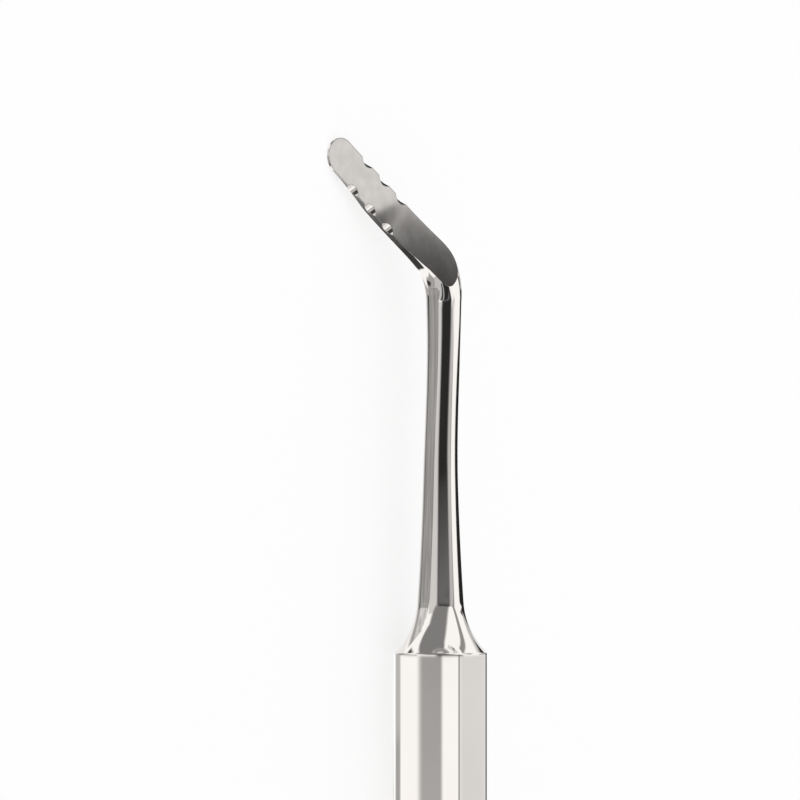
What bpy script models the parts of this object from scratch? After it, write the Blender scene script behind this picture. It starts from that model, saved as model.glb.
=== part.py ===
"""Luxating elevator: a one-piece steel hand instrument that loosens a tooth root in its socket.

A round handle flares into a slim waisted shank with a narrow flat ground along each side. The end of the
bar is bent sideways and ground to a round-backed blade. The blade's face is flat at the tip and hollow
behind it, and runs out in a rounded tongue on the front of the bend. Three slanting grip notches are
filed across each edge of the face.

The instrument is shaped in its own frame: +Y along the handle to the blade, +Z out of the blade's face,
-X towards the side that the blade is bent to, with Y = 0 at the shoulder where handle and flare meet.
It is then laid down: rolled about its axis until the blade touches the surface that the handle lies on.
"""

import bpy
import bmesh
from math import acos, asin, atan2, cos, hypot, pi, radians, sin, sqrt, tan
from mathutils import Matrix, Vector

MM = 0.001

# Handle, turned round
HANDLE_DIAMETER = 10.0 * MM
HANDLE_LENGTH = 105.0 * MM
BUTT_EDGE_RADIUS = 1.5 * MM
SHOULDER_EASE = 0.05 * MM

# Flare and shank, turned to two hollow arcs that run into each other
FLARE_ARC_RADIUS = 8.4 * MM
WAIST_DIAMETER = 3.55 * MM
WAIST_HEIGHT = 27.5 * MM
WAIST_ARC_RADIUS = 335.0 * MM

# Sideways set of the shank, away from the blade, over a length that ends a level piece below the bend
BOW_OFFSET = 0.52 * MM
BOW_LENGTH = 18.0 * MM
BOW_LEVEL = 1.8 * MM

# Narrow flats ground along both sides of the shank, which turn a little towards the face on the way up
# and end a little way into the bend
FLAT_DEPTH = 0.10 * MM
FLAT_OVERRUN = 0.01 * MM
FLAT_START = 0.8 * MM
FLAT_START_FADE = 6.0 * MM
FLAT_PAST_BEND = 2.1 * MM
FLAT_END_FADE = 0.8 * MM
FLAT_END_TURN = radians(10.0)

# Bend between shank and blade, in the plane of the blade's face
BEND_HEIGHT = 40.95 * MM
BEND_ANGLE = radians(51.8)
BEND_RADIUS = 6.5 * MM

# Blade, measured along its own axis from where that axis crosses the shank's
BLADE_LENGTH = 21.75 * MM
BLADE_WIDTH = 3.92 * MM
BLADE_STOCK = 0.03 * MM
FRONT_FULLNESS = 3.3
FRONT_SWELL_LENGTH = 4.5 * MM
BACK_FULLNESS = 3.2
BACK_SWELL_LENGTH = 10.0 * MM
BLADE_SWELL_LENGTH = 7.2 * MM
HEEL_BACK_DEPTH = 1.46 * MM
TIP_BACK_DEPTH = 0.12 * MM
TIP_LAND = 2.0 * MM
BACK_WHEEL_RADIUS = 13.0 * MM
HEEL_BLEND = 0.40 * MM

# Face of the blade: a plane at the tip, then the arc of the grinding wheel
FACE_TIP_HEIGHT = 0.10 * MM
FACE_RAKE = radians(1.0)
FACE_ROLL = radians(2.5)
FACE_FLAT_LENGTH = 12.55 * MM
FACE_WHEEL_RADIUS = 34.7 * MM

# Grip notches, filed with a round file across both edges of the face
NOTCHES_PER_EDGE = 3
LEFT_NOTCH_FIRST = 5.47 * MM
LEFT_NOTCH_PITCH = 3.27 * MM
LEFT_NOTCH_DEPTH = 0.40 * MM
RIGHT_NOTCH_FIRST = 5.38 * MM
RIGHT_NOTCH_PITCH = 3.13 * MM
RIGHT_NOTCH_DEPTH = 0.36 * MM
NOTCH_FILE_RADIUS = 1.4 * MM
NOTCH_SLOPE = radians(45.0)

# Section fullness of a round bar
ROUND = 2.0

# Fineness of the curved surfaces
SIDES = 64
BUTT_STEPS = 4
FLARE_STEPS = 10
WAIST_STEPS = 14
BEND_STEPS = 10
BLADE_STEPS = 26
WHEEL_STEP = 0.8 * MM
TIP_STEPS = 25
FLAT_STEPS = 24
FLAT_BEND_STEPS = 6
FILE_SIDES = 32

# Steel
STEEL_COLOUR = (0.78, 0.775, 0.765, 1.0)
STEEL_ROUGHNESS = 0.18

HANDLE_RADIUS = HANDLE_DIAMETER / 2
WAIST_RADIUS = WAIST_DIAMETER / 2
BLADE_HALF_WIDTH = BLADE_WIDTH / 2
BEND_TANGENT = BEND_RADIUS * tan(BEND_ANGLE / 2)
BEND_START = BEND_HEIGHT - BEND_TANGENT
BOW_END = BEND_START - BOW_LEVEL
BOW_START = BOW_END - BOW_LENGTH
FLAT_END = BEND_START + FLAT_PAST_BEND

# Room for the cutters, beyond what they take off
TIP_ALLOWANCE = 0.5 * MM
CUTTER_CLEARANCE = 2.0 * MM
CUTTER_REACH = 6.0 * MM


def clear_scene():
    for obj in list(bpy.data.objects):
        bpy.data.objects.remove(obj, do_unlink=True)


def eased(share):
    """0 to 1 with a level start and end."""
    share = min(1.0, max(0.0, share))
    return share * share * (3 - 2 * share)


def flare_arc():
    """Centre and top end of the arc from the handle's edge that runs smoothly into the waist's arc.

    Both are (radius, height) pairs.
    """
    waist_centre = Vector((WAIST_RADIUS + WAIST_ARC_RADIUS, WAIST_HEIGHT))
    rim = Vector((HANDLE_RADIUS, 0.0))
    reach = WAIST_ARC_RADIUS - FLARE_ARC_RADIUS
    apart = waist_centre - rim
    squares = FLARE_ARC_RADIUS**2 + apart.length**2 - reach**2
    at_rim = acos(squares / (2 * FLARE_ARC_RADIUS * apart.length))
    bearing = atan2(apart.y, apart.x) + at_rim
    centre = rim + FLARE_ARC_RADIUS * Vector((cos(bearing), sin(bearing)))
    top = waist_centre + (centre - waist_centre) * WAIST_ARC_RADIUS / reach
    return centre, top


def bar_radius(height):
    """Radius of the round bar at a height above the shoulder, up to the bend."""
    centre, top = flare_arc()
    if height < top.y:
        return centre.x - sqrt(FLARE_ARC_RADIUS**2 - (height - centre.y) ** 2)
    return WAIST_RADIUS + WAIST_ARC_RADIUS - sqrt(WAIST_ARC_RADIUS**2 - (height - WAIST_HEIGHT) ** 2)


def bow(height):
    """How far the shank's centre stands off the handle's axis, on the side away from the blade."""
    return BOW_OFFSET * eased((height - BOW_START) / (BOW_END - BOW_START))


def bar_place(along):
    """Centre of the bar and the direction across it, at a distance along its middle line."""
    if along <= BEND_START:
        return Vector((bow(along), along, 0.0)), Vector((1.0, 0.0, 0.0))
    lean = (along - BEND_START) / BEND_RADIUS
    across = Vector((cos(lean), sin(lean), 0.0))
    return Vector((BOW_OFFSET - BEND_RADIUS, BEND_START, 0.0)) + across * BEND_RADIUS, across


def blade_matrix():
    """Frame of the blade: X across it, Y towards the tip, Z out of the face, where the two axes cross."""
    return Matrix.Translation((BOW_OFFSET, BEND_HEIGHT, 0.0)) @ Matrix.Rotation(BEND_ANGLE, 4, "Z")


def face_matrix():
    """Frame of the face's grinding: the blade's, rolled so that the face's left edge stands higher."""
    return blade_matrix() @ Matrix.Rotation(FACE_ROLL, 4, "Y")


def ring(centre, across, half_width, front, back, front_fullness=ROUND, back_fullness=ROUND):
    """Outline of the bar at a centre: a section whose plane holds the direction across the bar.

    A fullness of ROUND gives half an ellipse, and a higher one a squarer form.
    """
    points = []
    for side in range(SIDES):
        angle = 2 * pi * side / SIDES
        fullness = front_fullness if sin(angle) > 0 else back_fullness
        wide = abs(cos(angle)) ** (2 / fullness) * (1 if cos(angle) > 0 else -1)
        deep = abs(sin(angle)) ** (2 / fullness)
        height = front * deep if sin(angle) > 0 else -back * deep
        points.append(centre + across * half_width * wide + Vector((0.0, 0.0, height)))
    return points


def round_ring(along, radius):
    centre, across = bar_place(along)
    return ring(centre, across, radius, radius, radius)


def handle_rings():
    """Plain turned handle with a rounded butt edge, up to the shoulder."""
    rings = []
    for step in range(BUTT_STEPS + 1):
        angle = pi / 2 * step / BUTT_STEPS
        radius = HANDLE_RADIUS - BUTT_EDGE_RADIUS * (1 - sin(angle))
        place = -HANDLE_LENGTH + BUTT_EDGE_RADIUS * (1 - cos(angle))
        rings.append(round_ring(place, radius))
    rings.append(round_ring(-SHOULDER_EASE, HANDLE_RADIUS))
    return rings


def shank_heights():
    """Heights of the rings from the eased shoulder to the bend, closer where the profile turns faster."""
    centre, top = flare_arc()
    low = asin((SHOULDER_EASE - centre.y) / FLARE_ARC_RADIUS)
    high = asin((top.y - centre.y) / FLARE_ARC_RADIUS)
    flare = [low + (high - low) * step / FLARE_STEPS for step in range(FLARE_STEPS + 1)]
    heights = [centre.y + FLARE_ARC_RADIUS * sin(angle) for angle in flare]
    rise = BEND_START - top.y
    heights += [top.y + rise * step / WAIST_STEPS for step in range(1, WAIST_STEPS + 1)]
    return heights


def shank_rings():
    return [round_ring(height, bar_radius(height)) for height in shank_heights()]


def bend_rings():
    """The bar round the bend: its front swells from round to the blade's fuller form."""
    bar = bar_radius(BEND_START)
    rings = []
    for step in range(1, BEND_STEPS + 1):
        turned = BEND_RADIUS * BEND_ANGLE * step / BEND_STEPS
        centre, across = bar_place(BEND_START + turned)
        front_fullness = ROUND + (FRONT_FULLNESS - ROUND) * min(1.0, turned / FRONT_SWELL_LENGTH)
        rings.append(ring(centre, across, bar, bar, bar, front_fullness))
    return rings


def back_depth(from_tip):
    """Depth of the blade's back below the bar's centre: hollow from the tip, then a heel that thickens.

    The edge between the two is blended.
    """
    bar = bar_radius(BEND_START)
    hollow = TIP_BACK_DEPTH + max(0.0, from_tip - TIP_LAND) ** 2 / (2 * BACK_WHEEL_RADIUS)
    heel = TIP_LAND + sqrt(2 * BACK_WHEEL_RADIUS * (HEEL_BACK_DEPTH - TIP_BACK_DEPTH))
    share = max(0.0, from_tip - heel) / (BLADE_LENGTH - BEND_TANGENT - heel)
    taper = HEEL_BACK_DEPTH + (bar - HEEL_BACK_DEPTH) * share**3
    return (hollow + taper - sqrt((hollow - taper) ** 2 + HEEL_BLEND**2)) / 2


def blade_rings():
    """The blade's blank: fuller in section than the bar and thinned from the back, a little past the tip."""
    bar = bar_radius(BEND_START)
    end = BLADE_LENGTH + TIP_ALLOWANCE
    across = Vector((cos(BEND_ANGLE), sin(BEND_ANGLE), 0.0))
    rings = []
    for step in range(1, BLADE_STEPS + 1):
        along = BEND_TANGENT + (end - BEND_TANGENT) * step / BLADE_STEPS
        swell = eased((along - BEND_TANGENT) / BLADE_SWELL_LENGTH)
        half_width = bar + (BLADE_HALF_WIDTH + BLADE_STOCK - bar) * swell
        back_fullness = ROUND + (BACK_FULLNESS - ROUND) * eased((along - BEND_TANGENT) / BACK_SWELL_LENGTH)
        back = back_depth(BLADE_LENGTH - along)
        centre = blade_matrix() @ Vector((0.0, along, 0.0))
        rings.append(ring(centre, across, half_width, bar, back, FRONT_FULLNESS, back_fullness))
    return rings


def lofted(name, rings):
    """A closed solid through rings of equal count, with a flat cap at each end."""
    shape = bmesh.new()
    loops = [[shape.verts.new(point) for point in points] for points in rings]
    count = len(rings[0])
    for near, far in zip(loops, loops[1:]):
        for side in range(count):
            other = (side + 1) % count
            shape.faces.new((near[side], near[other], far[other], far[side]))
    shape.faces.new(loops[0])
    shape.faces.new(loops[-1])
    return solid_object(name, shape)


def extruded(name, outline, thickness):
    """A prism: the outline, a list of (x, y) pairs, made thick equally above and below its plane."""
    shape = bmesh.new()
    floor = shape.faces.new([shape.verts.new((x, y, -thickness / 2)) for x, y in outline])
    raised = bmesh.ops.extrude_face_region(shape, geom=[floor])
    moved = [item for item in raised["geom"] if isinstance(item, bmesh.types.BMVert)]
    bmesh.ops.translate(shape, verts=moved, vec=(0.0, 0.0, thickness))
    return solid_object(name, shape)


def solid_object(name, shape):
    bmesh.ops.recalc_face_normals(shape, faces=shape.faces)
    mesh = bpy.data.meshes.new(name)
    shape.to_mesh(mesh)
    shape.free()
    obj = bpy.data.objects.new(name, mesh)
    bpy.context.scene.collection.objects.link(obj)
    return obj


def cut(body, cutter):
    """Takes the cutter's shape out of the body and keeps the cutter as a wire guide that moves with it."""
    cutter.hide_render = True
    cutter.display_type = "WIRE"
    cutter.parent = body
    boolean = body.modifiers.new(cutter.name, "BOOLEAN")
    boolean.operation = "DIFFERENCE"
    boolean.solver = "EXACT"
    boolean.object = cutter


def flat_depth(along):
    """How far the flat lies under the bar's surface: it fades out, and just clears the bar, at both ends."""
    start = eased((along - FLAT_START) / FLAT_START_FADE)
    end = eased((FLAT_END - along) / FLAT_END_FADE)
    return (FLAT_DEPTH + FLAT_OVERRUN) * min(start, end) - FLAT_OVERRUN


def side_flat(side):
    """Grinding of one side of the shank, which follows the bar's profile just under its surface."""
    places = [FLAT_START + (BEND_START - FLAT_START) * step / FLAT_STEPS for step in range(FLAT_STEPS + 1)]
    places += [BEND_START + FLAT_PAST_BEND * step / FLAT_BEND_STEPS for step in range(1, FLAT_BEND_STEPS + 1)]
    rings = []
    for along in places:
        turn = FLAT_END_TURN * along / FLAT_END
        centre, across = bar_place(along)
        outward = across * side * cos(turn) + Vector((0.0, 0.0, sin(turn)))
        sideways = (Vector((0.0, 0.0, cos(turn))) - across * side * sin(turn)) * CUTTER_CLEARANCE
        near = centre + outward * (bar_radius(min(along, BEND_START)) - flat_depth(along))
        far = near + outward * CUTTER_CLEARANCE
        rings.append([near - sideways, near + sideways, far + sideways, far - sideways])
    return lofted("side_flat_" + ("right" if side > 0 else "left"), rings)


def blade_outline():
    """Grinding of the blade's outline: what lies outside two straight sides and the half-round tip."""
    tip_centre = BLADE_LENGTH - BLADE_HALF_WIDTH
    inner = [(BLADE_HALF_WIDTH, BEND_TANGENT)]
    for step in range(TIP_STEPS + 1):
        angle = pi * step / TIP_STEPS
        inner.append((BLADE_HALF_WIDTH * cos(angle), tip_centre + BLADE_HALF_WIDTH * sin(angle)))
    inner.append((-BLADE_HALF_WIDTH, BEND_TANGENT))
    far = BLADE_LENGTH + CUTTER_REACH
    left, right = -CUTTER_REACH, CUTTER_REACH
    outer = [(left, BEND_TANGENT), (left, far), (right, far), (right, BEND_TANGENT)]
    plate = extruded("blade_outline", inner + outer, 2 * CUTTER_REACH)
    plate.matrix_local = blade_matrix()
    return plate


def face_height(along):
    """Height of the blade's face above the bar's centre, at a place along the blade's axis."""
    from_tip = BLADE_LENGTH - along
    plane = FACE_TIP_HEIGHT + from_tip * tan(FACE_RAKE)
    arc = max(0.0, from_tip - FACE_FLAT_LENGTH)
    return plane + FACE_WHEEL_RADIUS - sqrt(FACE_WHEEL_RADIUS**2 - arc**2)


def blade_face():
    """Grinding of the blade's face: plane from the tip, then the wheel's arc until it leaves the bar."""
    bar = bar_radius(BEND_START)
    start = BLADE_LENGTH - FACE_FLAT_LENGTH
    outline = [(BLADE_LENGTH + CUTTER_CLEARANCE, face_height(BLADE_LENGTH + CUTTER_CLEARANCE))]
    step = 0
    while outline[-1][1] < bar + CUTTER_CLEARANCE:
        along = start - step * WHEEL_STEP
        outline.append((along, face_height(along)))
        step += 1
    outline.append((outline[-1][0], bar + CUTTER_REACH))
    outline.append((BLADE_LENGTH + CUTTER_CLEARANCE, bar + CUTTER_REACH))
    wheel = extruded("blade_face", outline, 2 * CUTTER_REACH)
    upright = Matrix(((0, 0, 1, 0), (1, 0, 0, 0), (0, 1, 0, 0), (0, 0, 0, 1)))
    wheel.matrix_local = face_matrix() @ upright
    return wheel


def notch(side, from_tip, depth, name):
    """One pass of the round file across the edge of the face, sloping down and outwards."""
    along = BLADE_LENGTH - from_tip
    shape = bmesh.new()
    bmesh.ops.create_cone(
        shape, cap_ends=True, segments=FILE_SIDES, radius1=NOTCH_FILE_RADIUS, radius2=NOTCH_FILE_RADIUS,
        depth=2 * CUTTER_REACH,
    )
    file = solid_object(name, shape)
    clear = NOTCH_FILE_RADIUS - depth
    edge = Vector((side * BLADE_HALF_WIDTH, along, face_height(along)))
    axis = edge + clear * Vector((side * sin(NOTCH_SLOPE), 0.0, cos(NOTCH_SLOPE)))
    tilt = Matrix.Rotation(side * (pi / 2 + NOTCH_SLOPE), 4, "Y")
    file.matrix_local = face_matrix() @ Matrix.Translation(axis) @ tilt
    return file


def steel():
    material = bpy.data.materials.new("polished_steel")
    material.use_nodes = True
    shader = material.node_tree.nodes["Principled BSDF"]
    shader.inputs["Base Color"].default_value = STEEL_COLOUR
    shader.inputs["Metallic"].default_value = 1.0
    shader.inputs["Roughness"].default_value = STEEL_ROUGHNESS
    return material


def elevator():
    """The whole instrument in its own frame."""
    body = lofted("luxating_elevator", handle_rings() + shank_rings() + bend_rings() + blade_rings())
    cut(body, side_flat(1))
    cut(body, side_flat(-1))
    cut(body, blade_outline())
    cut(body, blade_face())
    for number in range(NOTCHES_PER_EDGE):
        left = LEFT_NOTCH_FIRST + number * LEFT_NOTCH_PITCH
        right = RIGHT_NOTCH_FIRST + number * RIGHT_NOTCH_PITCH
        cut(body, notch(-1, left, LEFT_NOTCH_DEPTH, f"notch_left_{number + 1}"))
        cut(body, notch(1, right, RIGHT_NOTCH_DEPTH, f"notch_right_{number + 1}"))
    body.data.materials.append(steel())
    body.data.shade_smooth()
    body.data.set_sharp_from_angle(angle=radians(30.0))
    return body


def finished_points(body):
    """The corners of the solid as the modifiers leave it, in the instrument's own frame."""
    bpy.context.view_layer.update()
    evaluated = body.evaluated_get(bpy.context.evaluated_depsgraph_get())
    return [vertex.co.copy() for vertex in evaluated.data.vertices]


def resting_roll(points):
    """The least roll that brings the blade down to the surface under the handle."""
    blade = [point for point in points if point.y > BEND_HEIGHT and hypot(point.x, point.z) > HANDLE_RADIUS]
    return min(atan2(point.z, -point.x) + asin(HANDLE_RADIUS / hypot(point.x, point.z)) for point in blade)


def lay_down(body):
    """Rolls the instrument into its rest and puts the middle of its footprint at the origin."""
    points = finished_points(body)
    turn = Matrix.Rotation(-resting_roll(points), 4, "Y")
    turned = [turn @ point for point in points]
    low = Vector([min(point[axis] for point in turned) for axis in range(3)])
    high = Vector([max(point[axis] for point in turned) for axis in range(3)])
    middle = (low + high) / 2
    body.matrix_world = Matrix.Translation((-middle.x, -middle.y, -low.z)) @ turn


clear_scene()
lay_down(elevator())
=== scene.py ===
"""Looks of the luxating elevator: a finely shaped, polished steel copy of its one solid, laid on a pale
floor inside a soft light tent, and seen by a long lens from the photograph's side.

The instrument is shaped straight, then bent and ground, in its own frame: +Y along the handle to the blade,
+Z out of the blade's face, -X towards the side that the blade is bent to, Y = 0 at the shoulder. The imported
model tells how it lies.
"""

import bpy
from math import acos, asin, atan, atan2, ceil, cos, hypot, pi, radians, sin, sqrt, tan
from mathutils import Matrix, Vector

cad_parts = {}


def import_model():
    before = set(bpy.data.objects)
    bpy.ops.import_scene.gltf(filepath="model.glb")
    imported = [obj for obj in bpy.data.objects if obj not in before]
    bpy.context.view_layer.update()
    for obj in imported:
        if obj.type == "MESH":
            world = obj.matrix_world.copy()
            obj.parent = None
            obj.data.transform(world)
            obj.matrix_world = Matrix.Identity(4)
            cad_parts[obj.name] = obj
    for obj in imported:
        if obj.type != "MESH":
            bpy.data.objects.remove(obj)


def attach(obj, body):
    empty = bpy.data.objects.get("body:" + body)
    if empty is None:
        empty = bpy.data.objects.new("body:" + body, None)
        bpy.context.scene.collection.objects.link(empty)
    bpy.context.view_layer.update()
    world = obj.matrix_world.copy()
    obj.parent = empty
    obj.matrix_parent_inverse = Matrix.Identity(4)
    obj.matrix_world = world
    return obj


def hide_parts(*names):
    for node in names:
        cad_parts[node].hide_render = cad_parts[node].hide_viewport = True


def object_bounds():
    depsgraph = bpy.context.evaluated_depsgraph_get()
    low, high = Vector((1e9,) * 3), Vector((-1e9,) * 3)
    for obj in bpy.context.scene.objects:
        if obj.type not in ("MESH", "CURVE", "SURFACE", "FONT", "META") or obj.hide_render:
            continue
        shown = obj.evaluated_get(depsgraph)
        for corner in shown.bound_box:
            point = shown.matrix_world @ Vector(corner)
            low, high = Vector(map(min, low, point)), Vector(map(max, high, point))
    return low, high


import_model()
CAD_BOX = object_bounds()

MM = 0.001

# Turned bar: handle, flare and waisted shank
HANDLE_RADIUS = 5.0 * MM
HANDLE_LENGTH = 105.0 * MM
BUTT_EDGE_RADIUS = 1.5 * MM
SHOULDER_EASE = 0.05 * MM
FLARE_ARC_RADIUS = 8.4 * MM
WAIST_RADIUS = 1.775 * MM
WAIST_HEIGHT = 27.5 * MM
WAIST_ARC_RADIUS = 335.0 * MM

# Bow and bend
BOW_OFFSET = 0.52 * MM
BOW_LENGTH = 18.0 * MM
BOW_LEVEL = 1.8 * MM
BEND_HEIGHT = 40.95 * MM
BEND_ANGLE = radians(51.8)
BEND_RADIUS = 6.5 * MM
BEND_TANGENT = BEND_RADIUS * tan(BEND_ANGLE / 2)
BEND_START = BEND_HEIGHT - BEND_TANGENT
BEND_ARC = BEND_RADIUS * BEND_ANGLE
BOW_END = BEND_START - BOW_LEVEL
BOW_START = BOW_END - BOW_LENGTH

# Blade
BLADE_LENGTH = 21.75 * MM
BLADE_HALF_WIDTH = 1.96 * MM
BLADE_STOCK = 0.03 * MM
FRONT_FULLNESS = 3.3
FRONT_SWELL_LENGTH = 4.5 * MM
BACK_FULLNESS = 3.2
BACK_SWELL_LENGTH = 10.0 * MM
BLADE_SWELL_LENGTH = 7.2 * MM
HEEL_BACK_DEPTH = 1.46 * MM
TIP_BACK_DEPTH = 0.12 * MM
TIP_LAND = 2.0 * MM
BACK_WHEEL_RADIUS = 13.0 * MM
HEEL_BLEND = 0.40 * MM
TIP_ALLOWANCE = 0.5 * MM

# Face, flats and notches
FACE_TIP_HEIGHT = 0.10 * MM
FACE_RAKE = radians(1.0)
FACE_ROLL = radians(2.5)
FACE_FLAT_LENGTH = 12.55 * MM
FACE_WHEEL_RADIUS = 34.7 * MM
FLAT_DEPTH = 0.10 * MM
FLAT_OVERRUN = 0.01 * MM
FLAT_START = 0.8 * MM
FLAT_START_FADE = 6.0 * MM
FLAT_PAST_BEND = 2.1 * MM
FLAT_END_FADE = 0.8 * MM
FLAT_END_TURN = radians(10.0)
NOTCHES_PER_EDGE = 3
LEFT_NOTCH_FIRST = 5.47 * MM
LEFT_NOTCH_PITCH = 3.27 * MM
LEFT_NOTCH_DEPTH = 0.40 * MM
RIGHT_NOTCH_FIRST = 5.38 * MM
RIGHT_NOTCH_PITCH = 3.13 * MM
RIGHT_NOTCH_DEPTH = 0.36 * MM
NOTCH_FILE_RADIUS = 1.4 * MM
NOTCH_SLOPE = radians(45.0)

CUTTER_CLEARANCE = 2.0 * MM
CUTTER_REACH = 6.0 * MM
ROUND = 2.0

# Fineness
SIDES = 192
BUTT_STEPS = 8
FLARE_STEP = 0.25 * MM
WAIST_STEP = 0.8 * MM
BEND_STEP = 0.2 * MM
BLADE_STEP = 0.25 * MM
WHEEL_STEP = 0.3 * MM
TIP_STEPS = 73
FILE_SIDES = 96
CREASE_ANGLE = radians(28.0)
WELD_DISTANCE = 0.0005 * MM

# View of the photograph, as square as its frame
VIEW_TURN = radians(45.0)
FRAME_WIDTH = 86.0 * MM
FRAME_RIGHT = -4.33 * MM
FRAME_UP = 27.2 * MM
CAMERA_DISTANCE = 1.2
CLIP_FACTOR = 10.0
SENSOR = 36.0

# Studio: floor, its own light, and the world's light as seen and as shed
FLOOR_SIZE = 8.0
FLOOR_COLOUR = (0.35, 0.35, 0.35, 1.0)
FLOOR_ROUGHNESS = 0.9
FLOOR_GLOW = 0.71
WHITE = (1.0, 1.0, 1.0, 1.0)
WORLD_SEEN = 1.0
WORLD_LIGHT = 0.8

# Steel: colour clean, a little stained, and a painted dark shade on the rim of the satin face, and its marks
# in spots per metre across, along and deep. STAIN_RANGE is the part of the noise that takes a stain from full
# to none, and PAINTED_EDGE_SHADE_RANGE is how alike the edge-rounded and the plain normal are where the
# painted edge shade is at its darkest and where it ends.
STEEL = (0.79, 0.76, 0.735, 1.0)
STEEL_DULL = (0.765, 0.735, 0.705, 1.0)
# Colour of the painted dark shade along the satin face's sharp edges
PAINTED_EDGE_SHADE = (0.10, 0.10, 0.10, 1.0)
STAIN_SPOTS = (300.0, 120.0, 300.0)
BELT_STREAKS = (3500.0, 60.0, 3500.0)
SATIN_CLOUDS = (800.0, 800.0, 800.0)
STAIN_RANGE = (0.3, 0.7)
PAINTED_EDGE_SHADE_RANGE = (0.94, 0.998)
PATCH_SPOTS = (700.0, 250.0, 700.0)
TURNED_MARKS = (900.0, 9000.0, 900.0)
BELT_MARKS = (9000.0, 250.0, 9000.0)
SATIN_MARKS = (9000.0, 5000.0, 9000.0)
FILE_MARKS = (5000.0, 5000.0, 5000.0)
MARK_DETAIL = 3.0
BEVEL_SAMPLES = 4
BUMP_STRENGTH = 1.0

# Finishes in the order of the work: roughness, its spread, marks, their depth, width of the worn edges,
# stains, how much darker they are, and width of the painted dark shade along sharp edges
FINISHES = {
    "polished_bar": (0.05, 0.02, TURNED_MARKS, 0.00006 * MM, 0.06 * MM, STAIN_SPOTS, 0.0, 0.0),
    "belted_flat": (0.10, 0.03, BELT_MARKS, 0.005 * MM, 0.06 * MM, BELT_STREAKS, 0.3, 0.0),
    "ground_edge": (0.10, 0.03, BELT_MARKS, 0.0003 * MM, 0.06 * MM, STAIN_SPOTS, 0.0, 0.0),
    # The satin face's last entry is the width of a painted dark shade along its sharp edges.
    "satin_face_and_painted_edge_shade": (0.11, 0.03, SATIN_MARKS, 0.0003 * MM, 0.07 * MM, SATIN_CLOUDS, 0.08, 0.18 * MM),
    "filed_notch": (0.10, 0.03, FILE_MARKS, 0.0003 * MM, 0.04 * MM, STAIN_SPOTS, 0.0, 0.0),
}


def eased(share):
    """0 to 1 with a level start and end."""
    share = min(1.0, max(0.0, share))
    return share * share * (3 - 2 * share)


def flare_arc():
    """Centre and top end, as (radius, height), of the flare's arc."""
    waist_centre = Vector((WAIST_RADIUS + WAIST_ARC_RADIUS, WAIST_HEIGHT))
    rim = Vector((HANDLE_RADIUS, 0.0))
    reach = WAIST_ARC_RADIUS - FLARE_ARC_RADIUS
    apart = waist_centre - rim
    at_rim = acos((FLARE_ARC_RADIUS**2 + apart.length**2 - reach**2) / (2 * FLARE_ARC_RADIUS * apart.length))
    bearing = atan2(apart.y, apart.x) + at_rim
    centre = rim + FLARE_ARC_RADIUS * Vector((cos(bearing), sin(bearing)))
    top = waist_centre + (centre - waist_centre) * WAIST_ARC_RADIUS / reach
    return centre, top


FLARE_CENTRE, FLARE_TOP = flare_arc()


def bar_radius(height):
    height = min(height, BEND_START)
    if height < 0.0:
        return HANDLE_RADIUS
    if height < FLARE_TOP.y:
        return FLARE_CENTRE.x - sqrt(FLARE_ARC_RADIUS**2 - (height - FLARE_CENTRE.y) ** 2)
    return WAIST_RADIUS + WAIST_ARC_RADIUS - sqrt(WAIST_ARC_RADIUS**2 - (height - WAIST_HEIGHT) ** 2)


BAR = bar_radius(BEND_START)


def stations(start, end, step):
    """Places from start to end, both included, no further apart than step."""
    count = ceil((end - start) / step)
    return [start + (end - start) * number / count for number in range(count + 1)]


def bar_stations():
    """Distances along the bar's middle line where its section is set, from the butt to past the tip."""
    tip = BEND_START + BEND_ARC + BLADE_LENGTH - BEND_TANGENT + TIP_ALLOWANCE
    places = []
    for number in range(BUTT_STEPS + 1):
        places.append(-HANDLE_LENGTH + BUTT_EDGE_RADIUS * (1 - cos(pi / 2 * number / BUTT_STEPS)))
    places += [-SHOULDER_EASE - WAIST_STEP, -2 * SHOULDER_EASE, -SHOULDER_EASE, SHOULDER_EASE]
    places += stations(2 * SHOULDER_EASE, FLARE_TOP.y, FLARE_STEP)
    places += stations(FLARE_TOP.y, BEND_START, WAIST_STEP)[1:]
    places += stations(BEND_START, BEND_START + BEND_ARC, BEND_STEP)[1:]
    places += stations(BEND_START + BEND_ARC, tip, BLADE_STEP)[1:]
    return places


def butt_radius(place):
    """Radius of the bar at a distance from the shoulder, with the butt's rounded edge."""
    inside = -HANDLE_LENGTH + BUTT_EDGE_RADIUS - place
    if inside <= 0.0:
        return bar_radius(place)
    return HANDLE_RADIUS - BUTT_EDGE_RADIUS + sqrt(max(0.0, BUTT_EDGE_RADIUS**2 - inside**2))


def bar_place(along):
    """Centre of the bar, the direction across it and the lean there, at a distance along its middle line."""
    hub = Vector((BOW_OFFSET - BEND_RADIUS, BEND_START, 0.0))
    if along <= BEND_START:
        shift = BOW_OFFSET * eased((along - BOW_START) / (BOW_END - BOW_START))
        return Vector((shift, along, 0.0)), Vector((1.0, 0.0, 0.0))
    lean = min(BEND_ANGLE, (along - BEND_START) / BEND_RADIUS)
    across = Vector((cos(lean), sin(lean), 0.0))
    ahead = Vector((-sin(lean), cos(lean), 0.0))
    rest = max(0.0, along - BEND_START - BEND_ARC)
    return hub + across * BEND_RADIUS + ahead * rest, across


def back_depth(from_tip):
    """Depth of the blade's back below the bar's centre: hollow from the tip, then a heel that thickens."""
    hollow = TIP_BACK_DEPTH + max(0.0, from_tip - TIP_LAND) ** 2 / (2 * BACK_WHEEL_RADIUS)
    heel = TIP_LAND + sqrt(2 * BACK_WHEEL_RADIUS * (HEEL_BACK_DEPTH - TIP_BACK_DEPTH))
    share = max(0.0, from_tip - heel) / (BLADE_LENGTH - BEND_TANGENT - heel)
    taper = HEEL_BACK_DEPTH + (BAR - HEEL_BACK_DEPTH) * share**3
    return (hollow + taper - sqrt((hollow - taper) ** 2 + HEEL_BLEND**2)) / 2


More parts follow.
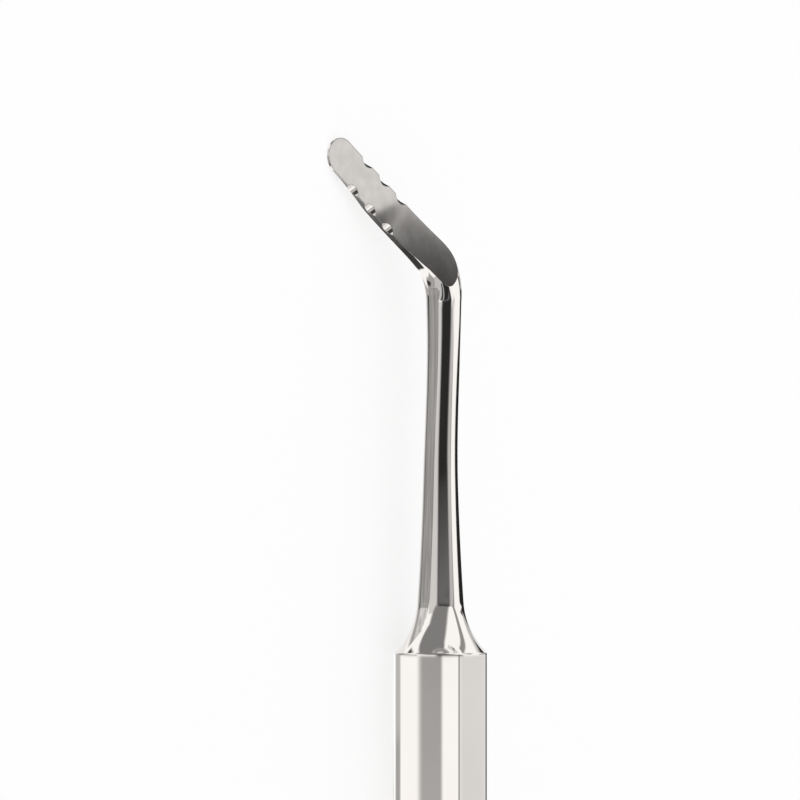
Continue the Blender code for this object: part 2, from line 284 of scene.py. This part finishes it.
def section(along):
    """Half width, front and back depths and fullnesses of the bar at a distance along its middle line."""
    if along <= BEND_START:
        radius = butt_radius(along)
        return radius, radius, radius, ROUND, ROUND
    front_fullness = ROUND + (FRONT_FULLNESS - ROUND) * min(1.0, (along - BEND_START) / FRONT_SWELL_LENGTH)
    on_blade = along - BEND_START - BEND_ARC
    if on_blade <= 0.0:
        return BAR, BAR, BAR, front_fullness, ROUND
    half_width = BAR + (BLADE_HALF_WIDTH + BLADE_STOCK - BAR) * eased(on_blade / BLADE_SWELL_LENGTH)
    back = back_depth(BLADE_LENGTH - BEND_TANGENT - on_blade)
    back_fullness = ROUND + (BACK_FULLNESS - ROUND) * eased(on_blade / BACK_SWELL_LENGTH)
    return half_width, BAR, back, front_fullness, back_fullness


def alone(obj):
    """Makes an object the only selected and the active one."""
    bpy.ops.object.select_all(action="DESELECT")
    obj.select_set(True)
    bpy.context.view_layer.objects.active = obj


def straight_bar():
    """A tube of equal rings, raised ring by ring from a circle at the butt, and closed at both ends."""
    places = bar_stations()
    bpy.ops.object.select_all(action="DESELECT")
    bpy.ops.mesh.primitive_circle_add(
        vertices=SIDES, radius=butt_radius(places[0]),
        location=(0.0, places[0], 0.0), rotation=(pi / 2, 0.0, 0.0),
    )
    bar = bpy.context.object
    bar.name = "polished_elevator"
    bpy.ops.object.transform_apply(location=True, rotation=True, scale=True)
    bpy.ops.object.mode_set(mode="EDIT")
    bpy.ops.mesh.select_all(action="SELECT")
    bpy.ops.mesh.edge_face_add()
    for near, far in zip(places, places[1:]):
        bpy.ops.mesh.extrude_region_move(TRANSFORM_OT_translate={"value": (0.0, far - near, 0.0)})
    bpy.ops.object.mode_set(mode="OBJECT")
    return bar


def shape_bar(bar):
    """Gives each ring its section and bends the bar."""
    for vertex in bar.data.vertices:
        along = vertex.co.y
        half_width, front, back, front_fullness, back_fullness = section(along)
        centre, across = bar_place(along)
        angle = atan2(vertex.co.z, vertex.co.x)
        fullness = front_fullness if vertex.co.z > 0 else back_fullness
        wide = abs(cos(angle)) ** (2 / fullness) * (1 if vertex.co.x > 0 else -1)
        deep = abs(sin(angle)) ** (2 / fullness)
        height = front * deep if vertex.co.z > 0 else -back * deep
        vertex.co = centre + across * half_width * wide + Vector((0.0, 0.0, height))


def tidy_normals(obj):
    alone(obj)
    bpy.ops.object.mode_set(mode="EDIT")
    bpy.ops.mesh.select_all(action="SELECT")
    bpy.ops.mesh.remove_doubles(threshold=WELD_DISTANCE)
    bpy.ops.mesh.normals_make_consistent(inside=False)
    bpy.ops.object.mode_set(mode="OBJECT")


def lofted(name, rings):
    """A closed solid through rings of equal count."""
    count = len(rings[0])
    points = [point for ring in rings for point in ring]
    faces = [tuple(range(count)), tuple(range(len(points) - count, len(points)))]
    for number in range(len(rings) - 1):
        for side in range(count):
            near, other = number * count + side, number * count + (side + 1) % count
            faces.append((near, other, other + count, near + count))
    return solid(name, points, faces)


def solid(name, points, faces):
    mesh = bpy.data.meshes.new(name)
    mesh.from_pydata(points, [], faces)
    obj = bpy.data.objects.new(name, mesh)
    bpy.context.scene.collection.objects.link(obj)
    tidy_normals(obj)
    return obj


def plate(name, outline, thickness, matrix):
    """A flat outline made thick, at its place."""
    points = [Vector((x, y, -thickness / 2)) for x, y in outline]
    mesh = bpy.data.meshes.new(name)
    mesh.from_pydata(points, [], [tuple(range(len(points)))])
    obj = bpy.data.objects.new(name, mesh)
    bpy.context.scene.collection.objects.link(obj)
    alone(obj)
    bpy.ops.object.mode_set(mode="EDIT")
    bpy.ops.mesh.select_all(action="SELECT")
    bpy.ops.mesh.extrude_region_move(TRANSFORM_OT_translate={"value": (0.0, 0.0, thickness)})
    bpy.ops.object.mode_set(mode="OBJECT")
    obj.data.transform(matrix)
    tidy_normals(obj)
    return obj


def cut(body, cutter, finish):
    """Takes a cutter's shape out of the body, leaves the cutter's finish there and removes the cutter."""
    cutter.data.materials.clear()
    cutter.data.materials.append(finish)
    cut_step = body.modifiers.new(cutter.name, "BOOLEAN")
    cut_step.operation = "DIFFERENCE"
    cut_step.solver = "EXACT"
    cut_step.material_mode = "TRANSFER"
    cut_step.object = cutter
    alone(body)
    bpy.ops.object.modifier_apply(modifier=cut_step.name)
    bpy.data.objects.remove(cutter, do_unlink=True)


def blade_matrix():
    return Matrix.Translation((BOW_OFFSET, BEND_HEIGHT, 0.0)) @ Matrix.Rotation(BEND_ANGLE, 4, "Z")


def face_matrix():
    return blade_matrix() @ Matrix.Rotation(FACE_ROLL, 4, "Y")


def flat_depth(along):
    end = BEND_START + FLAT_PAST_BEND
    start_share = eased((along - FLAT_START) / FLAT_START_FADE)
    end_share = eased((end - along) / FLAT_END_FADE)
    return (FLAT_DEPTH + FLAT_OVERRUN) * min(start_share, end_share) - FLAT_OVERRUN


def side_flat(side):
    """Grinding of one side of the shank, which follows the bar and turns a little on the way up."""
    end = BEND_START + FLAT_PAST_BEND
    rings = []
    for along in stations(FLAT_START, BEND_START, WAIST_STEP) + stations(BEND_START, end, BEND_STEP)[1:]:
        turn = FLAT_END_TURN * along / end
        centre, across = bar_place(along)
        outward = across * side * cos(turn) + Vector((0.0, 0.0, sin(turn)))
        sideways = (Vector((0.0, 0.0, cos(turn))) - across * side * sin(turn)) * CUTTER_CLEARANCE
        near = centre + outward * (bar_radius(along) - flat_depth(along))
        far = near + outward * CUTTER_CLEARANCE
        rings.append([near - sideways, near + sideways, far + sideways, far - sideways])
    return lofted("side_flat", rings)


def blade_outline():
    """Grinding of the blade's outline: what lies outside two straight sides and the half-round tip."""
    tip_centre = BLADE_LENGTH - BLADE_HALF_WIDTH
    inner = [(BLADE_HALF_WIDTH, BEND_TANGENT)]
    for step in range(TIP_STEPS + 1):
        angle = pi * step / TIP_STEPS
        inner.append((BLADE_HALF_WIDTH * cos(angle), tip_centre + BLADE_HALF_WIDTH * sin(angle)))
    inner.append((-BLADE_HALF_WIDTH, BEND_TANGENT))
    far = BLADE_LENGTH + CUTTER_REACH
    outer = [(-CUTTER_REACH, BEND_TANGENT), (-CUTTER_REACH, far)]
    outer += [(CUTTER_REACH, far), (CUTTER_REACH, BEND_TANGENT)]
    return plate("blade_outline", inner + outer, 2 * CUTTER_REACH, blade_matrix())


def face_height(along):
    from_tip = BLADE_LENGTH - along
    plane = FACE_TIP_HEIGHT + from_tip * tan(FACE_RAKE)
    arc = max(0.0, from_tip - FACE_FLAT_LENGTH)
    return plane + FACE_WHEEL_RADIUS - sqrt(FACE_WHEEL_RADIUS**2 - arc**2)


def blade_face():
    """Grinding of the blade's face: plane from the tip, then the wheel's arc until it leaves the bar."""
    start = BLADE_LENGTH - FACE_FLAT_LENGTH
    outline = [(BLADE_LENGTH + CUTTER_CLEARANCE, face_height(BLADE_LENGTH + CUTTER_CLEARANCE))]
    step = 0
    while outline[-1][1] < BAR + CUTTER_CLEARANCE:
        along = start - step * WHEEL_STEP
        outline.append((along, face_height(along)))
        step += 1
    outline.append((outline[-1][0], BAR + CUTTER_REACH))
    outline.append((BLADE_LENGTH + CUTTER_CLEARANCE, BAR + CUTTER_REACH))
    upright = Matrix(((0, 0, 1, 0), (1, 0, 0, 0), (0, 1, 0, 0), (0, 0, 0, 1)))
    return plate("blade_face", outline, 2 * CUTTER_REACH, face_matrix() @ upright)


def notch(side, from_tip, depth):
    """One pass of the round file across the edge of the face, sloping down and outwards."""
    along = BLADE_LENGTH - from_tip
    clear = NOTCH_FILE_RADIUS - depth
    edge = Vector((side * BLADE_HALF_WIDTH, along, face_height(along)))
    axis = edge + clear * Vector((side * sin(NOTCH_SLOPE), 0.0, cos(NOTCH_SLOPE)))
    tilt = Matrix.Rotation(side * (pi / 2 + NOTCH_SLOPE), 4, "Y")
    bpy.ops.object.select_all(action="DESELECT")
    bpy.ops.mesh.primitive_cylinder_add(vertices=FILE_SIDES, radius=NOTCH_FILE_RADIUS, depth=2 * CUTTER_REACH)
    file = bpy.context.object
    file.data.transform(face_matrix() @ Matrix.Translation(axis) @ tilt)
    return file


def resting_roll(points):
    """Roll about the handle's axis that brings the blade down to the floor beside the handle."""
    blade = [point for point in points if point.y > BEND_HEIGHT and hypot(point.x, point.z) > HANDLE_RADIUS]
    return min(atan2(point.z, -point.x) + asin(HANDLE_RADIUS / hypot(point.x, point.z)) for point in blade)


def resting_matrix(body):
    """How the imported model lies: the handle and the blade on the floor."""
    low, high = CAD_BOX
    roll = resting_roll([vertex.co for vertex in body.data.vertices])
    handle = Vector((high.x - HANDLE_RADIUS, low.y + HANDLE_LENGTH, low.z + HANDLE_RADIUS))
    return Matrix.Translation(handle) @ Matrix.Rotation(-roll, 4, "Y")


def crease_borders(body):
    """Sharpens the edges where one finish meets another."""
    alone(body)
    bpy.ops.object.mode_set(mode="EDIT")
    for number in range(len(body.material_slots)):
        bpy.ops.mesh.select_mode(type="FACE")
        bpy.ops.mesh.select_all(action="DESELECT")
        body.active_material_index = number
        bpy.ops.object.material_slot_select()
        bpy.ops.mesh.region_to_loop()
        bpy.ops.mesh.mark_sharp()
    bpy.ops.mesh.select_mode(type="VERT")
    bpy.ops.object.mode_set(mode="OBJECT")


def elevator(bar_finish, flat_finish, edge_finish, face_finish, notch_finish):
    """The whole instrument, upright in its own frame."""
    body = straight_bar()
    body.data.materials.append(bar_finish)
    shape_bar(body)
    tidy_normals(body)
    cut(body, side_flat(1), flat_finish)
    cut(body, side_flat(-1), flat_finish)
    cut(body, blade_outline(), edge_finish)
    cut(body, blade_face(), face_finish)
    for number in range(NOTCHES_PER_EDGE):
        left_place = LEFT_NOTCH_FIRST + number * LEFT_NOTCH_PITCH
        right_place = RIGHT_NOTCH_FIRST + number * RIGHT_NOTCH_PITCH
        cut(body, notch(-1, left_place, LEFT_NOTCH_DEPTH), notch_finish)
        cut(body, notch(1, right_place, RIGHT_NOTCH_DEPTH), notch_finish)
    tidy_normals(body)
    bpy.ops.object.shade_smooth_by_angle(angle=CREASE_ANGLE)
    crease_borders(body)
    return body


# Materials

def new_material(name):
    material = bpy.data.materials.new(name)
    material.use_nodes = True
    return material


def node(tree, kind, **settings):
    made = tree.nodes.new(kind)
    for name, value in settings.items():
        setattr(made, name, value)
    return made


def put(tree, target, value):
    """A value or a socket into an input."""
    if isinstance(value, bpy.types.NodeSocket):
        tree.links.new(value, target)
    else:
        target.default_value = value


def maths(tree, operation, first, second=0.0, clamp=False):
    made = node(tree, "ShaderNodeMath", operation=operation, use_clamp=clamp)
    put(tree, made.inputs[0], first)
    put(tree, made.inputs[1], second)
    return made.outputs[0]


def keyed(tree, value, keys):
    """A socket that follows (input, output) keys linearly, or a number where all the outputs are the same."""
    if len({level for place, level in keys}) == 1:
        return keys[0][1]
    low, high = keys[0][0], keys[-1][0]
    span = node(tree, "ShaderNodeMapRange")
    put(tree, span.inputs["Value"], value)
    span.inputs["From Min"].default_value = low
    span.inputs["From Max"].default_value = high
    curve = node(tree, "ShaderNodeFloatCurve")
    curve.mapping.use_clip = False
    floor = min(key[1] for key in keys)
    height = max(key[1] for key in keys) - floor or 1.0
    line = curve.mapping.curves[0]
    for number, (place, level) in enumerate(keys):
        spot = ((place - low) / (high - low), (level - floor) / height)
        if number < 2:
            point = line.points[number if number == 0 else 1]
            point.location = spot
        else:
            point = line.points.new(*spot)
    for point in line.points:
        point.handle_type = "VECTOR"
    curve.mapping.update()
    tree.links.new(span.outputs[0], curve.inputs["Value"])
    return maths(tree, "ADD", maths(tree, "MULTIPLY", curve.outputs[0], height), floor)


def step_up(tree, value, edge, softness):
    """0 below an edge and 1 above it, over twice the softness."""
    low = maths(tree, "SUBTRACT", edge, softness)
    rise = maths(tree, "DIVIDE", maths(tree, "SUBTRACT", value, low), maths(tree, "MULTIPLY", softness, 2.0))
    smooth = node(tree, "ShaderNodeMapRange", interpolation_type="SMOOTHSTEP")
    tree.links.new(rise, smooth.inputs["Value"])
    return smooth.outputs[0]


def mixed(tree, share, low, high):
    made = node(tree, "ShaderNodeMix", data_type="FLOAT")
    put(tree, made.inputs["Factor"], share)
    put(tree, made.inputs["A"], low)
    put(tree, made.inputs["B"], high)
    return made.outputs["Result"]


def grain(tree, place, stretch, detail=2.0):
    """Noise from 0 to 1, with that many spots per metre across, along and deep."""
    spread = node(tree, "ShaderNodeMapping", vector_type="POINT")
    spread.inputs["Scale"].default_value = stretch
    tree.links.new(place, spread.inputs["Vector"])
    noise = node(tree, "ShaderNodeTexNoise")
    noise.inputs["Scale"].default_value = 1.0
    noise.inputs["Detail"].default_value = detail
    tree.links.new(spread.outputs[0], noise.inputs["Vector"])
    return noise.outputs["Factor"] if "Factor" in noise.outputs else noise.outputs["Fac"]


def steel_material(name, rough, rough_spread, marks, mark_depth, worn_edge, spots, darker, rim):
    """Bare steel whose polishing marks have that many spots per metre on each axis and that depth. Where its
    stains are strongest it is darker by that share, and a rim of that width along its sharp edges gets a
    painted dark shade."""
    material = new_material(name)
    tree = material.node_tree
    shader = tree.nodes["Principled BSDF"]
    shader.inputs["Metallic"].default_value = 1.0
    place = node(tree, "ShaderNodeTexCoord").outputs["Object"]
    stain = node(tree, "ShaderNodeMapRange")
    tree.links.new(grain(tree, place, spots), stain.inputs["Value"])
    stain.inputs["From Min"].default_value = STAIN_RANGE[0]
    stain.inputs["From Max"].default_value = STAIN_RANGE[1]
    shade = node(tree, "ShaderNodeMix", data_type="RGBA")
    tree.links.new(stain.outputs[0], shade.inputs["Factor"])
    shade.inputs["A"].default_value = [tone * (1.0 - darker) for tone in STEEL_DULL[:3]] + [1.0]
    shade.inputs["B"].default_value = STEEL
    # Painted shade: near sharp edges, where the edge-rounded normal turns away from the plain one, the colour
    # goes dark.
    if rim:
        turned = node(tree, "ShaderNodeBevel", samples=BEVEL_SAMPLES)
        turned.inputs["Radius"].default_value = rim
        likeness = node(tree, "ShaderNodeVectorMath", operation="DOT_PRODUCT")
        tree.links.new(turned.outputs[0], likeness.inputs[0])
        tree.links.new(node(tree, "ShaderNodeNewGeometry").outputs["Normal"], likeness.inputs[1])
        painted_shade_share = node(tree, "ShaderNodeMapRange")
        tree.links.new(likeness.outputs["Value"], painted_shade_share.inputs["Value"])
        painted_shade_share.inputs["From Min"].default_value = PAINTED_EDGE_SHADE_RANGE[0]
        painted_shade_share.inputs["From Max"].default_value = PAINTED_EDGE_SHADE_RANGE[1]
        bare = shade
        shade = node(tree, "ShaderNodeMix", data_type="RGBA")
        tree.links.new(painted_shade_share.outputs[0], shade.inputs["Factor"])
        shade.inputs["A"].default_value = PAINTED_EDGE_SHADE
        tree.links.new(bare.outputs["Result"], shade.inputs["B"])
    tree.links.new(shade.outputs["Result"], shader.inputs["Base Color"])
    patch = grain(tree, place, PATCH_SPOTS)
    tree.links.new(mixed(tree, patch, rough - rough_spread, rough + rough_spread), shader.inputs["Roughness"])
    rounded = node(tree, "ShaderNodeBevel", samples=BEVEL_SAMPLES)
    rounded.inputs["Radius"].default_value = worn_edge
    bump = node(tree, "ShaderNodeBump")
    bump.inputs["Strength"].default_value = BUMP_STRENGTH
    bump.inputs["Distance"].default_value = mark_depth
    tree.links.new(grain(tree, place, marks, MARK_DETAIL), bump.inputs["Height"])
    tree.links.new(rounded.outputs[0], bump.inputs["Normal"])
    tree.links.new(bump.outputs[0], shader.inputs["Normal"])
    return material


# Light tent round the instrument's axis: a far cloth, and three small ones nearer to it that stand before
# the lower shank, the handle and the blade's face, each with shaded and lit cards laid over one another.
# Places are azimuths in degrees, 0 towards the camera and more towards the image's right, and heights in mm
# above the shoulder. Tones are display tones that polished steel shows where it reflects them.
CLOTH_TONE = 250.0
WHITE_TONE = 255.0
DISPLAY_GAMMA = 2.2
HEIGHT_BEND = 100.0
CLOTH_SIDES = 256

# Per cloth: its radius, low end and high end, and its cards. A near cloth is only there where its first
# card is. Per card: softness of its left and right edges in degrees, fade of its ends in mm, and its shape
# and shade as (height, left edge, right edge, tone at the left, tone at the right), even in between on a
# scale of heights that bends over beyond HEIGHT_BEND
CLOTHS = {
    "light_tent": (300 * MM, -1500 * MM, 3000 * MM, {
        "left_sheet": (4, 4, 3, (
            (-3, -210, -138, 230, 230), (230, -210, -138, 230, 230),
        )),
        "left_flag": (5, 5, 3, (
            (-60, -150, -110, 160, 160), (230, -130, -112, 160, 160),
        )),
        "handle_flag": (3, 6, 1.5, (
            (-19, -146, -117, 180, 180), (-4, -146, -117, 180, 180),
        )),
        "flat_sheet": (5, 4, 3, (
            (-400, -112, -62, 160, 160), (62, -112, -62, 160, 160),
        )),
        "flat_top": (4, 4, 3, (
            (62, -115, -88, 200, 200), (230, -115, -88, 200, 200),
        )),
        "flat_line": (1.5, 2, 2.5, (
            (-30, -65, -60, 150, 150), (40, -65, -60, 150, 150),
        )),
        "edge_line": (2, 2, 3, (
            (-3, -124, -102, 70, 70), (44, -124, -102, 70, 70),
        )),
        "strip": (4, 4, 3, (
            (-3, -58, -4, 205, 205), (115, -58, -28, 205, 205),
        )),
        "right_sheet": (5, 4, 3, (
            (22, 46, 66, 180, 180), (60, 42, 64, 180, 180),
        )),
        "dark_flag": (8, 8, 2.5, (
            (-24, -5, 60, 45, 45), (54, -16, 43, 45, 45),
        )),
        "grey_sheet": (8, 8, 2.5, (
            (54, -19, 43, 125, 125), (210, -50, 31, 125, 125), (700, -118, 22, 125, 125),
            (1500, -400, 30, 125, 125),
        )),
        "bend_sheet": (6, 5, 5, (
            (-500, -64, 24, 190, 190), (-30, -50, 0, 190, 190),
        )),
        "dark_low": (6, 7, 3, (
            (-400, 26, 30, 45, 45), (-120, 15, 52, 45, 45), (-22, -5, 62, 45, 45),
        )),
        "thin_line": (3, 3.5, 4, (
            (28, 67, 74, 140, 140), (60, 61, 73, 140, 140), (540, 95, 115, 140, 140),
        )),
        "side_flag": (5, 8, 2, (
            (-3, 109, 210, 40, 40), (24, 112, 210, 40, 40), (31, 129, 160, 40, 40), (66, 110, 150, 40, 40),
        )),
        "side_top": (9, 7, 3, (
            (47, 122, 158, 180, 180), (220, 142, 168, 180, 180),
        )),
        "side_low": (8, 8, 4, (
            (-180, 152, 210, 60, 60), (-3, 152, 210, 60, 60),
        )),
        "low_flag": (3, 3, 8, (
            (-340, -210, -140, 60, 60), (-22, -210, -170, 60, 60),
        )),
        "rim_top": (3, 3, 10, (
            (150, -210, -158, 60, 60), (250, -210, -158, 60, 60),
        )),
        "rim_left": (5, 5, 20, (
            (290, -158, -122, 60, 60), (420, -158, -122, 60, 60),
        )),
        "rim_side": (3, 3, 8, (
            (-185, -110, -95, 60, 60), (-120, -110, -95, 60, 60),
        )),
        "notch_left": (4, 4, 9, (
            (-200, 0, 13, 60, 60), (-28, -24, -10, 60, 60),
        )),
        "notch_right": (3, 6, 6, (
            (90, 150, 210, 50, 50), (500, 146, 210, 50, 50),
        )),
        "top": (2, 2, 300, (
            (1400, -400, 400, 145, 145), (90000, -400, 400, 145, 145),
        )),
    }),
    "shank_veil": (100 * MM, 5 * MM, 35 * MM, {
        "lower_shank": (8, 7, 1.2, (
            (16, -11, 47, 115, 115), (24.6, -9, 47, 50, 50),
        )),
    }),
    "handle_screen": (20 * MM, -50 * MM, 1 * MM, {
        "handle_cloth": (5, 4, 0.2, (
            (-40, -106, 135, 250, 250), (-0.55, -106, 135, 250, 250),
        )),
        "handle_sheet": (9, 4.5, 1, (
            (-40, -47, 3, 180, 180), (10, -47, 3, 150, 150),
        )),
        "handle_line": (1.5, 2, 1, (
            (-50, 40, 44, 150, 150), (10, 40, 44, 150, 150),
        )),
        "handle_end": (3, 3, 1, (
            (-50, 46, 140, 215, 215), (10, 46, 140, 215, 215),
        )),
    }),
    "blade_screen": (20 * MM, 42 * MM, 61 * MM, {
        "blade_cloth": (3, 3, 0.3, (
            (43, 40, 92, 210, 210), (60, 42, 92, 210, 210),
        )),
        "blade_shade": (1.5, 2, 0.5, (
            (43.5, 57, 71, 30, 110), (48.5, 66, 79, 30, 150), (50.2, 77, 81, 110, 160),
        )),
    }),
}


def card_share(tree, azimuth, height, card):
    """Tone of a card, and its share from 0 to 1 where it lies."""
    left_soft, right_soft, fade, rows = card
    bent = maths(tree, "ARCTANGENT", maths(tree, "DIVIDE", height, HEIGHT_BEND))
    heights = [atan(row[0] / HEIGHT_BEND) for row in rows]
    left, right, left_tone, right_tone = [
        keyed(tree, bent, list(zip(heights, column))) for column in list(zip(*rows))[1:]
    ]
    width = maths(tree, "SUBTRACT", right, left)
    across = maths(tree, "DIVIDE", maths(tree, "SUBTRACT", azimuth, left), width)
    tone = mixed(tree, maths(tree, "MAXIMUM", across, 0.0, clamp=True), left_tone, right_tone)
    inside = step_up(tree, azimuth, left, left_soft)
    beyond = step_up(tree, azimuth, right, right_soft)
    wide = maths(tree, "MULTIPLY", inside, maths(tree, "SUBTRACT", 1.0, beyond))
    above = step_up(tree, height, rows[0][0], fade)
    over = step_up(tree, height, rows[-1][0], fade)
    tall = maths(tree, "MULTIPLY", above, maths(tree, "SUBTRACT", 1.0, over))
    return tone, maths(tree, "MULTIPLY", wide, tall)


def cloth_material(name, cards, near):
    material = new_material(name)
    tree = material.node_tree
    tree.nodes.clear()
    place = node(tree, "ShaderNodeTexCoord")
    parts = node(tree, "ShaderNodeSeparateXYZ")
    tree.links.new(place.outputs["Object"], parts.inputs[0])
    azimuth = maths(tree, "MULTIPLY", maths(tree, "ARCTAN2", parts.outputs[0], parts.outputs[2]), 180 / pi)
    height = maths(tree, "MULTIPLY", parts.outputs[1], 1 / MM)
    shown = CLOTH_TONE
    cover = None
    for card in cards.values():
        tone, share = card_share(tree, azimuth, height, card)
        if near and cover is None:
            shown, cover = tone, share
        else:
            shown = mixed(tree, share, shown, tone)
    light = maths(tree, "POWER", maths(tree, "DIVIDE", shown, WHITE_TONE), DISPLAY_GAMMA)
    glow = node(tree, "ShaderNodeEmission")
    tree.links.new(maths(tree, "DIVIDE", light, STEEL[0]), glow.inputs["Strength"])
    out = node(tree, "ShaderNodeOutputMaterial")
    if near:
        blend = node(tree, "ShaderNodeMixShader")
        tree.links.new(cover, blend.inputs[0])
        tree.links.new(node(tree, "ShaderNodeBsdfTransparent").outputs[0], blend.inputs[1])
        tree.links.new(glow.outputs[0], blend.inputs[2])
        tree.links.new(blend.outputs[0], out.inputs["Surface"])
    else:
        tree.links.new(glow.outputs[0], out.inputs["Surface"])
    material.cycles.emission_sampling = "NONE"
    return material


def view_matrix():
    """Frame of the photograph at the shoulder: X to the image's right, Y up, Z to the camera."""
    return REST @ Matrix.Rotation(-VIEW_TURN, 4, "Y")


def cloth(name, radius, low, high, cards):
    """A round wall of cloth about the instrument's axis, which only its steel reflects."""
    near = radius < max(size[0] for size in CLOTHS.values())
    bpy.ops.object.select_all(action="DESELECT")
    bpy.ops.mesh.primitive_cylinder_add(
        vertices=CLOTH_SIDES, radius=radius, depth=high - low, end_fill_type="NOTHING",
        location=(0.0, (high + low) / 2, 0.0), rotation=(pi / 2, 0.0, 0.0),
    )
    wall = bpy.context.object
    wall.name = name
    bpy.ops.object.transform_apply(location=True, rotation=True, scale=True)
    wall.matrix_world = view_matrix()
    wall.data.materials.append(cloth_material(name, cards, near))
    wall.visible_camera = False
    wall.visible_shadow = False
    wall.visible_diffuse = False


def floor():
    bpy.ops.object.select_all(action="DESELECT")
    bpy.ops.mesh.primitive_plane_add(size=FLOOR_SIZE)
    ground = bpy.context.object
    ground.name = "floor"
    material = new_material("pale_floor")
    tree = material.node_tree
    shader = tree.nodes["Principled BSDF"]
    shader.inputs["Base Color"].default_value = FLOOR_COLOUR
    shader.inputs["Roughness"].default_value = FLOOR_ROUGHNESS
    shader.inputs["Specular IOR Level"].default_value = 0.0
    rays = node(tree, "ShaderNodeLightPath")
    seen = maths(tree, "ADD", rays.outputs["Is Camera Ray"], rays.outputs["Is Glossy Ray"], clamp=True)
    seen = maths(tree, "ADD", seen, rays.outputs["Is Transmission Ray"], clamp=True)
    shader.inputs["Emission Color"].default_value = WHITE
    tree.links.new(maths(tree, "MULTIPLY", seen, FLOOR_GLOW), shader.inputs["Emission Strength"])
    ground.data.materials.append(material)
    ground.visible_glossy = False


def world():
    scene = bpy.context.scene
    scene.world = bpy.data.worlds.new("studio")
    scene.world.use_nodes = True
    tree = scene.world.node_tree
    rays = node(tree, "ShaderNodeLightPath")
    back = tree.nodes["Background"]
    back.inputs["Color"].default_value = WHITE
    strength = mixed(tree, rays.outputs["Is Camera Ray"], WORLD_LIGHT, WORLD_SEEN)
    tree.links.new(strength, back.inputs["Strength"])


def camera():
    lens = bpy.data.cameras.new("photo_view")
    lens.sensor_width = SENSOR
    lens.lens = SENSOR * CAMERA_DISTANCE / FRAME_WIDTH
    lens.clip_start = CAMERA_DISTANCE / CLIP_FACTOR
    lens.clip_end = CAMERA_DISTANCE * CLIP_FACTOR
    eye = bpy.data.objects.new("photo_view", lens)
    bpy.context.scene.collection.objects.link(eye)
    eye.matrix_world = view_matrix() @ Matrix.Translation((FRAME_RIGHT, FRAME_UP, CAMERA_DISTANCE))
    bpy.context.scene.camera = eye


piece = elevator(*[steel_material(name, *finish) for name, finish in FINISHES.items()])
REST = resting_matrix(piece)
piece.data.transform(REST)
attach(piece, "root")
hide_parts("luxating_elevator")
for cloth_name, (cloth_radius, cloth_low, cloth_high, cloth_cards) in CLOTHS.items():
    cloth(cloth_name, cloth_radius, cloth_low, cloth_high, cloth_cards)
floor()
world()
camera()
bpy.context.scene.view_settings.view_transform = "Standard"
